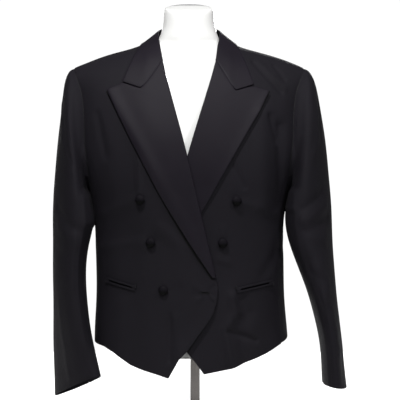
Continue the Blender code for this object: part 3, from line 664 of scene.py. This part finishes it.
# Sleeves. Folds lie on the sleeve laid flat, as length round from the outer side to the front, and height.
# Cloth bunches on the body's side of the elbow, between the first and last of four heights.
sleeveCloth = {
    "levels": 3,
    "sharpness": 0.50,
    "meanRadius": 0.062,
    "axis": {"from": 0.02, "to": 0.70, "pitch": 0.02, "reach": 0.022},
    "domeFrom": 0.60,
    "domeShare": 0.5,
    "head": {"height": 0.0012, "from": 0.009, "width": 0.006},
    "armholeCalm": (0.006, 0.045),
    "bunchSide": (0.35, 0.95),
    "bunch": {
        # height from which it comes up, is full, lies down, is flat, and most
        "right": (0.392, 0.410, 0.455, 0.478, 0.0068),
        "left": (0.424, 0.440, 0.465, 0.480, 0.0056),
    },
    "folds": {
        "right": [
            # line of (length round, z), width, height, lean
            (((0.020, 0.640), (0.075, 0.560)), 0.012, 0.0016, 0.3),
            (((0.060, 0.600), (0.105, 0.520)), 0.010, -0.0016, 0.0),
            (((0.040, 0.440), (0.120, 0.400)), 0.010, -0.0022, 0.5),
            (((0.050, 0.405), (0.130, 0.370)), 0.011, 0.0018, 0.3),
            (((0.030, 0.360), (0.110, 0.345)), 0.010, -0.0016, 0.4),
            (((-0.110, 0.420), (-0.030, 0.450)), 0.012, -0.0022, 0.4),
            (((-0.120, 0.380), (-0.040, 0.400)), 0.012, 0.0018, 0.3),
            (((0.060, 0.250), (0.070, 0.110)), 0.014, 0.0014, 0.0),
            (((0.110, 0.300), (0.120, 0.140)), 0.012, -0.0016, 0.0),
            (((-0.060, 0.600), (-0.100, 0.520)), 0.013, 0.0018, 0.0),
        ],
        "left": [
            # line of (length round, z), width, height, lean
            (((0.030, 0.640), (0.050, 0.580)), 0.008, -0.0018, 0.4),
            (((0.050, 0.630), (0.085, 0.540)), 0.012, 0.0018, 0.0),
            (((0.060, 0.470), (0.120, 0.440)), 0.009, -0.0024, 0.6),
            (((0.040, 0.445), (0.120, 0.415)), 0.009, 0.0022, 0.4),
            (((0.035, 0.420), (0.115, 0.395)), 0.009, -0.0024, 0.6),
            (((0.050, 0.385), (0.110, 0.360)), 0.010, 0.0016, 0.3),
            (((-0.110, 0.430), (-0.030, 0.460)), 0.012, -0.0024, 0.4),
            (((-0.120, 0.395), (-0.040, 0.415)), 0.012, 0.0020, 0.3),
            (((0.080, 0.320), (0.070, 0.160)), 0.014, 0.0016, 0.0),
            (((0.120, 0.330), (0.110, 0.180)), 0.012, -0.0018, 0.0),
            (((0.020, 0.200), (0.060, 0.110)), 0.012, -0.0014, 0.3),
            (((-0.060, 0.600), (-0.100, 0.520)), 0.013, 0.0018, 0.0),
        ],
    },
    "waves": [
        # length round, length up, turn, height
        (0.160, 0.420, 0.8, 0.00045),
        (-0.110, 0.240, 2.6, 0.00035),
        (0.300, -0.130, 4.0, 0.00030),
    ],
}


def sleeveAxis(word):  # heights with the centre and the half sizes of the sleeve there
    span = sleeveCloth["axis"]
    points = pointsOf(f"sleeve_{word}_top", f"sleeve_{word}_under")
    rows = []
    for height in np.arange(points[:, 2].min() + span["from"], span["to"], span["pitch"]):
        slab = points[np.abs(points[:, 2] - height) < span["reach"]]
        low, high = slab.min(0), slab.max(0)
        rows.append((height, *(low[:2] + high[:2]) / 2, *(high[:2] - low[:2]) / 2))
    return np.array(rows)


def dressSleeve(word):
    side = 1 if word == "left" else -1
    axis = sleeveAxis(word)

    def around(points):
        column = [np.interp(points[:, 2], axis[:, 0], axis[:, k]) for k in range(1, 5)]
        return (points[:, 0] - column[0]) * side, column[1] - points[:, 1], column[2], column[3]

    def outward(points):
        out, ahead, wide, deep = around(points)
        up = np.maximum(0, points[:, 2] - sleeveCloth["domeFrom"]) * sleeveCloth["domeShare"]
        way = np.stack([out / wide**2 * side, -ahead / deep**2, up / wide**2], 1)
        return way / np.linalg.norm(way, axis=1)[:, None]

    def mapped(points):
        out, ahead, wide, deep = around(points)
        turn = np.arctan2(ahead / deep, out / wide)
        return turn * sleeveCloth["meanRadius"], points[:, 2]

    def lift(points):
        across, up = mapped(points)
        loose = foldHeight(across, up, sleeveCloth["folds"][word])
        loose += ripple(across, up, sleeveCloth["waves"])
        near = armholeDistance(points, word)
        head = sleeveCloth["head"]
        ridge = head["height"] * bell(near - head["from"], head["width"])
        out, _, wide, _ = around(points)
        low, full, fade, high, most = sleeveCloth["bunch"][word]
        inner = ease(*sleeveCloth["bunchSide"], -out / wide)
        bunch = most * ease(low, full, up) * (1 - ease(fade, high, up)) * inner
        return loose * ease(*sleeveCloth["armholeCalm"], near) + ridge + bunch

    for part in ("top", "under"):
        node = f"sleeve_{word}_{part}"
        piece = shellOf(node, f"sleeve{word.title()}{part.title()}Cloth", sleeveCloth, sewn=True)
        moved(piece, lift, outward, mapped)
        pieces[node] = finishPiece(piece, "suiting")


# The seam allowance inside each armhole, rolled
armholeSeam = {"radius": 0.0009, "inset": 0.0006, "sides": 8, "smooth": 11}


def makeArmholeSeam(word):
    ring = armholes[word]
    span = armholeSeam["smooth"] // 2
    line = sum(np.roll(ring, k, 0) for k in range(-span, span + 1)) / armholeSeam["smooth"]
    line -= bodyOutward(line) * armholeSeam["inset"]
    ahead = np.roll(line, -1, 0) - np.roll(line, 1, 0)
    turns = [math.tau * k / armholeSeam["sides"] for k in range(armholeSeam["sides"])]
    bm = bmesh.new()
    rounds = []
    for spot, run in zip(line, ahead):
        run = Vector(run).normalized()
        first = run.cross(Vector((1, 0, 0))).normalized() * armholeSeam["radius"]
        second = run.cross(first)
        spots = [Vector(spot) + first * math.cos(turn) + second * math.sin(turn) for turn in turns]
        rounds.append([bm.verts.new(corner) for corner in spots])
    for here, there in zip(rounds, rounds[1:] + rounds[:1]):
        for k in range(armholeSeam["sides"]):
            bm.faces.new((here[k - 1], here[k], there[k], there[k - 1]))
    bmesh.ops.recalc_face_normals(bm, faces=bm.faces[:])
    addPiece(f"armhole{word.title()}Seam", bm, "sewingThread")


for word in ("right", "left"):
    dressSleeve(word)
    makeArmholeSeam(word)
print("sleeves made")


# Lapels and collar, which move with the fronts under them. The end of the collar laps over the gorge, whose
# lines lie in the front view, from the garment's centre.
facing = {
    "levels": 2,
    "sharpness": 0.50,
    "grain": {"lapel_left": -0.42, "lapel_right": 0.42, "collar": 0.0},
    "names": {"lapel_left": "lapelLeftFacing", "lapel_right": "lapelRightFacing", "collar": "collarCloth"},
    "gorges": [
        # start (x, z), end (x, z), and the side to which the collar laps
        ((-0.0930, 0.6720), (-0.0530, 0.7200), 1),
        ((0.0895, 0.6690), (0.0530, 0.7210), -1),
    ],
    "lap": 0.0012,
    "reach": 0.0032,
    "comesUp": (0.06, 0.16),
    "liesDown": (1.05, 1.30),
}


def lapCollar(piece):
    points = readPoints(piece)
    for start, end, side in facing["gorges"]:
        aside, share = lineOff(*frontView(points), start, end)
        near = bell(aside, facing["reach"]) * (points[:, 1] < 0)
        near *= ease(*facing["comesUp"], share) * (1 - ease(*facing["liesDown"], share))
        run = np.subtract(end, start) / np.hypot(*np.subtract(end, start))
        points[:, 0] += side * run[1] * facing["lap"] * near
        points[:, 2] -= side * run[0] * facing["lap"] * near
    writePoints(piece, points)


def dressFacing(node):
    turn = facing["grain"][node]

    def mapped(points):
        across, up = frontView(points)
        return across * math.cos(turn) + up * math.sin(turn), up * math.cos(turn) - across * math.sin(turn)

    piece = shellOf(node, facing["names"][node], facing, sewn=True)
    moved(piece, lambda points: bodyLift(points) + edgeStand(points, node), bodyOutward, mapped)
    if node == "collar":
        lapCollar(piece)
    pieces[node] = finishPiece(piece, "facing")


for node in facing["names"]:
    dressFacing(node)
print("lapels and collar made")


# Painted shadow: where an edge stands off, the cloth beside it is painted dark, in a line beside the edge's
# own rim
paintedShadeLines = {
    "steps": 53,
    "shares": (-0.02, 1.02),
    "rimReach": 0.02,
    "ends": (-0.01, 1.01),
    "under": 6.0,
    "none": -10.0,
    "lines": {
        # edge, side of it that takes the painted shadow, shares of the way along it, widths there in
        # millimetres
        "front_left": [
            ("lapel_left", -1, (0.0, 0.45, 1.0), (2.8, 1.2, 1.0)),
            ("front_right", -1, (0.0, 1.0), (0.4, 4.4)),
        ],
        "front_right": [("lapel_right", 1, (0.0, 0.40, 0.55, 0.78, 1.0), (3.2, 1.4, 2.6, 5.6, 4.0))],
    },
}


def paintShadeBeside(node):
    points = readPoints(pieces[node])
    depth = np.full(len(points), paintedShadeLines["none"])
    steps = np.linspace(*paintedShadeLines["shares"], paintedShadeLines["steps"])
    first, last = paintedShadeLines["ends"]
    for edge, side, shares, widths in paintedShadeLines["lines"][node]:
        start, end = standing["edges"][edge][:2]
        rimOff, rimShare = lineOff(*frontView(readPoints(pieces[edge])), start, end)
        rim = [(side * rimOff)[np.abs(rimShare - step) < paintedShadeLines["rimReach"]].max() for step in steps]
        off, share = lineOff(*frontView(points), start, end)
        gap = (side * off - np.interp(share, steps, rim)) * 1000
        beside = (share > first) & (share < last) & (points[:, 1] < 0) & (gap > -paintedShadeLines["under"])
        depth = np.where(beside, np.maximum(depth, np.interp(share, shares, widths) - gap), depth)
    writePaintedShade(pieces[node], depth)


for node in paintedShadeLines["lines"]:
    paintShadeBeside(node)
print("crevices darkened")


# Jetted pockets: two rolled welts, the mouth between them, which is a near-black sheet of painted shade,
# and a bar of thread at each end. The shares are of the way along the mouth.
pockets = {
    "levels": 3,
    "sharpness": 0.30,
    "stand": 0.0007,
    "openBy": 0.0014,
    "openWithin": 0.0034,
    "linePoints": 10,
    "endPoints": 8,
    "mouth": {"width": 0.0042, "steps": 40, "sink": 0.0003, "start": 0.01, "span": 0.98},
    "bar": {
        "threads": 9,
        "size": (0.00040, 0.00425, 0.00040),
        "spread": 0.0016,
        "stand": 0.0007,
        "shares": {"Inner": 0.005, "Outer": 0.995},
    },
}


def pocketLine(word):  # points along the middle of the pocket's mouth, from the front's centre outwards
    points = pointsOf(f"pocket_{word}_upper_jet", f"pocket_{word}_lower_jet")
    points = points[np.argsort(np.abs(frontView(points)[0]))]
    line = np.array([group.mean(0) for group in np.array_split(points, pockets["linePoints"])])
    line[0] = points[: pockets["endPoints"]].mean(0)
    line[-1] = points[-pockets["endPoints"] :].mean(0)
    return line


def alongLine(line, share):
    place = share * (len(line) - 1)
    return np.array([np.interp(place, np.arange(len(line)), line[:, axis]) for axis in range(3)])


def onBody(place, height):  # this place moved with the cloth of the body, and the way out there
    out = bodyOutward(place[None])[0]
    return place + out * (bodyLift(place[None])[0] + height), out


def dressPocket(word):
    line = pocketLine(word)
    run = line[-1] - line[0]
    run /= np.linalg.norm(run)
    across = np.cross(run, (0, -1, 0))
    across *= np.sign(across[2])
    made = []

    def opened(points):  # away from the mouth, most at its edge
        reach, middle = points - line[0], line - line[0]
        off = reach @ across - np.interp(reach @ run, middle @ run, middle @ across)
        push = pockets["openBy"] * (1 - ease(0, pockets["openWithin"], np.abs(off))) * np.sign(off)
        return points + across * push[:, None]

    for part in ("upper", "lower"):
        piece = shellOf(f"pocket_{word}_{part}_jet", f"pocket{word.title()}{part.title()}Jet", pockets)
        moved(piece, lambda points: bodyLift(points) + pockets["stand"], bodyOutward, bodyMap)
        writePoints(piece, opened(readPoints(piece)))
        made.append(finishPiece(piece, "suiting"))

    mouth = pockets["mouth"]
    bm = bmesh.new()
    bmesh.ops.create_grid(bm, x_segments=mouth["steps"], y_segments=1, size=0.5)
    for vertex in bm.verts:
        place = alongLine(line, mouth["start"] + mouth["span"] * (vertex.co.x + 0.5))
        vertex.co = Vector(onBody(place + across * vertex.co.y * mouth["width"], -mouth["sink"])[0])
    made.append(addPiece(f"pocket{word.title()}Mouth", bm, "paintedOpeningShade"))

    bar = pockets["bar"]
    for end, share in bar["shares"].items():
        bm = bmesh.new()
        for step in np.linspace(-0.5, 0.5, bar["threads"]):
            place, out = onBody(alongLine(line, share) + run * step * bar["spread"], bar["stand"])
            addThread(bm, place, (run, across, out), bar["size"])
        made.append(addPiece(f"pocket{word.title()}{end}Bar", bm, "sewingThread"))
    return made


jets = {word: dressPocket(word) for word in ("left", "right")}
print("pockets made")


# Covered buttons: a domed cap, its cloth gathered under the rim, and a thread shank. The cap carries
# painted shade, from above its middle to below it.
button = {
    "radius": 0.0095,
    "height": 0.0080,
    "segments": 48,
    "weld": 0.000005,
    "cap": [
        # share of the radius, share of the height
        (0, 0),
        (0.50, 0),
        (0.72, 0.02),
        (0.90, 0.12),
        (0.985, 0.24),
        (1.0, 0.34),
        (0.975, 0.45),
        (0.91, 0.58),
        (0.81, 0.70),
        (0.67, 0.81),
        (0.50, 0.90),
        (0.34, 0.955),
        (0.17, 0.99),
        (0, 1.0),
    ],
    "gathers": 20,
    "gatherDepth": 0.00022,
    "gatherShare": 0.55,
    "shade": 0.70,
    "shaded": (-0.15, 0.40),
    "shankSegments": 20,
    "shank": [
        # radius, height
        (0, -0.0016),
        (0.0022, -0.0016),
        (0.0018, -0.0004),
        (0.0024, 0.0006),
        (0, 0.0006),
    ],
}


def buttonPlace(node):  # the middle of the button's back, and the way it faces
    points = pointsOf(node)
    middle = points.mean(0)
    axes = np.linalg.eigh(np.cov((points - middle).T))[1]
    way = axes[:, 0] if axes[1, 0] < 0 else -axes[:, 0]
    return middle + way * ((points - middle) @ way).min(), Vector(way)


def spun(profile, segments):
    bm = bmesh.new()
    line = [bm.verts.new((radius, 0, height)) for radius, height in profile]
    edges = [bm.edges.new(pair) for pair in zip(line, line[1:])]
    turn = {"cent": (0, 0, 0), "axis": (0, 0, 1), "angle": math.tau, "steps": segments}
    bmesh.ops.spin(bm, geom=line + edges, use_merge=True, **turn)
    bmesh.ops.remove_doubles(bm, verts=bm.verts[:], dist=button["weld"])
    bmesh.ops.recalc_face_normals(bm, faces=bm.faces[:])
    return bm


def makeButton(node, name):
    radius, height = button["radius"], button["height"]
    bm = spun([(radius * r, height * h) for r, h in button["cap"]], button["segments"])
    for vertex in bm.verts:
        r = math.hypot(vertex.co.x, vertex.co.y)
        turn = math.atan2(vertex.co.y, vertex.co.x)
        under = max(0.0, 1 - vertex.co.z / (height * button["gatherShare"])) * min(1.0, r / radius)
        vertex.co.z -= button["gatherDepth"] * under * math.cos(button["gathers"] * turn)
    flat = np.array([vertex.co for vertex in bm.verts])
    back, way = buttonPlace(node)
    turned = way.to_track_quat("Z", "Y").to_matrix().to_4x4()
    where = Matrix.Translation(onBody(back, 0)[0]) @ turned
    bmesh.ops.transform(bm, matrix=where, verts=bm.verts[:])
    piece = addPiece(name, bm, "buttonCloth")
    writeMap(piece, flat[:, 0], flat[:, 1])
    # painted shade: the cap is painted darker the further its points lie below the button's middle
    drop = (back[2] - readPoints(piece)[:, 2]) / radius
    writePaintedShade(piece, button["shade"] * ease(*button["shaded"], drop))
    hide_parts(node)
    shank = spun(button["shank"], button["shankSegments"])
    bmesh.ops.transform(shank, matrix=where, verts=shank.verts[:])
    return [piece, addPiece(f"{name}Shank", shank, "sewingThread")]


buttons = {}
for node in sorted(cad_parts):
    if node.startswith("button_"):
        _, side, level = node.split("_")
        buttons[node] = makeButton(node, f"button{side.title()}{level.title()}")
print("buttons made")


# Buttonhole near the front edge: a slit of painted shade, a near-black sheet, with its edges worked in
# thread, round both ends
buttonhole = {
    "middle": (0.0323, 0.2785),
    "length": 0.0165,
    "open": 0.0007,
    "tilt": -0.06,
    "slitSteps": (24, 2),
    "slitStand": 0.00012,
    "stitches": 26,
    "endStitches": 7,
    "stitchSize": (0.0011, 0.00032, 0.00032),
    "stitchStand": 0.00018,
    "lookFrom": -0.5,
}


def onCloth(node, flat):  # point and outward way of a cloth's face at this place of the front view
    start = Vector((flat.x + body["centreX"], buttonhole["lookFrom"], flat.y))
    _, point, normal, _ = pieces[node].ray_cast(start, Vector((0, 1, 0)))
    return point, normal


def makeButtonhole():
    middle = Vector(buttonhole["middle"])
    run = Vector((math.cos(buttonhole["tilt"]), math.sin(buttonhole["tilt"])))
    across = Vector((-run.y, run.x))
    half = run * buttonhole["length"] / 2

    slit = bmesh.new()
    columns, rows = buttonhole["slitSteps"]
    bmesh.ops.create_grid(slit, x_segments=columns, y_segments=rows, size=1.0)
    for vertex in slit.verts:
        taper = math.sqrt(max(0.0, 1 - vertex.co.x**2))
        flat = middle + half * vertex.co.x + across * vertex.co.y * taper * buttonhole["open"]
        point, normal = onCloth("front_right", flat)
        vertex.co = point + normal * buttonhole["slitStand"]

    stitches = []
    for share in np.linspace(-1, 1, buttonhole["stitches"]):
        stitches += [(middle + half * share, across * side) for side in (-1, 1)]
    for turn in np.linspace(-math.pi / 2, math.pi / 2, buttonhole["endStitches"]):
        for side in (-1, 1):
            stitches.append((middle + half * side, run * math.cos(turn) * side + across * math.sin(turn)))

    work = bmesh.new()
    for foot, way in stitches:
        flat = foot + way * (buttonhole["open"] + buttonhole["stitchSize"][0])
        point, normal = onCloth("front_right", flat)
        along = Vector((way.x, 0, way.y))
        along = (along - normal * along.dot(normal)).normalized()
        axes = (along, normal.cross(along), normal)
        addThread(work, point + normal * buttonhole["stitchStand"], axes, buttonhole["stitchSize"])
    return [
        addPiece("buttonholeSlit", slit, "paintedOpeningShade"),
        addPiece("buttonholeStitches", work, "sewingThread"),
    ]


hole = makeButtonhole()
print("buttonhole made")


# Dress form and its stand
form = {"levels": 2, "sharpness": 0.55}
finishPiece(shellOf("dress_form", "formShell", form), "formShell")
for node in ("base", "pole", "flange"):
    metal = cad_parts[node]
    metal.data.materials.clear()
    metal.data.materials.append(finishes["chromedSteel"])
print("form and stand made")


# The cloth's flat cuts, and what is sewn to the two fronts
cuts = {
    # width and length in metres, and area in square metres
    "front_left": (0.310, 0.660, 0.1346),
    "front_right": (0.305, 0.665, 0.1316),
    "back_left": (0.235, 0.650, 0.1255),
    "back_right": (0.235, 0.650, 0.1252),
    "side_left": (0.125, 0.370, 0.0377),
    "side_right": (0.125, 0.375, 0.0386),
    "sleeve_left_top": (0.310, 0.660, 0.1375),
    "sleeve_left_under": (0.150, 0.460, 0.0533),
    "sleeve_right_top": (0.310, 0.690, 0.1442),
    "sleeve_right_under": (0.150, 0.460, 0.0506),
    "lapel_left": (0.120, 0.440, 0.0297),
    "lapel_right": (0.125, 0.440, 0.0313),
    "collar": (0.085, 0.520, 0.0311),
}


def buttonsOn(side):
    return [piece for node, made in buttons.items() if side in node for piece in made]


sewnOn = {
    "front_left": jets["left"] + buttonsOn("left"),
    "front_right": jets["right"] + hole + buttonsOn("right"),
}
for node, (wide, long, area) in cuts.items():
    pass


# Floor, light and camera
studio = {
    "floorSize": 1.7,
    "lights": [
        # name, place, size, power
        ("keyLight", (-0.35, -1.00, 1.95), 0.14, 38),
        ("sideLight", (1.3, -1.3, 1.9), 0.25, 24),
        ("fillLight", (0.35, -2.4, 1.75), 1.5, 21),
        ("backLight", (0.7, 2.6, 1.35), 0.6, 36),
        ("backFill", (-0.6, 2.8, 0.7), 1.4, 18),
    ],
    "aim": (-0.01, 0.0, 0.45),
    "skyLight": 0.20,
    "skySeen": 1.05,
    "target": (0.010, 0.0, 0.45),
    "elevation": 3.0,
    "distance": 2.6,
    "lens": 117,
}


def makeFloor():
    bm = bmesh.new()
    bmesh.ops.create_grid(bm, x_segments=1, y_segments=1, size=studio["floorSize"] / 2)
    mesh = bpy.data.meshes.new("floor")
    bm.to_mesh(mesh)
    bm.free()
    mesh.materials.append(finishes["floorPaper"])
    floor = placed("floor", mesh)
    floor.visible_diffuse = False


def makeLights():
    for name, place, size, power in studio["lights"]:
        data = bpy.data.lights.new(name, "AREA")
        data.size = size
        data.energy = power
        lamp = placed(name, data)
        lamp.location = place
        lamp.rotation_euler = (Vector(studio["aim"]) - Vector(place)).to_track_quat("-Z", "Y").to_euler()


def makeSky():  # bright where the camera sees it, and dimmer as a light
    world = bpy.data.worlds.new("sky")
    scene.world = world
    world.use_nodes = True
    nodes = Nodes(world.node_tree)
    sky = world.node_tree.nodes["Background"]
    seen = nodes.node("ShaderNodeLightPath", output="Is Camera Ray")
    ends = {"Value": seen, "To Min": studio["skyLight"], "To Max": studio["skySeen"]}
    nodes.join(sky.inputs["Color"], (1, 1, 1, 1))
    nodes.join(sky.inputs["Strength"], nodes.node("ShaderNodeMapRange", {}, ends))


def makeCamera():
    data = bpy.data.cameras.new("camera")
    data.lens = studio["lens"]
    camera = placed("camera", data)
    tilt = math.radians(studio["elevation"])
    away = Vector((0, -math.cos(tilt), math.sin(tilt))) * studio["distance"]
    camera.location = Vector(studio["target"]) + away
    camera.rotation_euler = (-away).to_track_quat("-Z", "Y").to_euler()
    scene.camera = camera


makeFloor()
makeLights()
makeSky()
makeCamera()
scene.view_settings.view_transform = "Standard"
print("studio made")
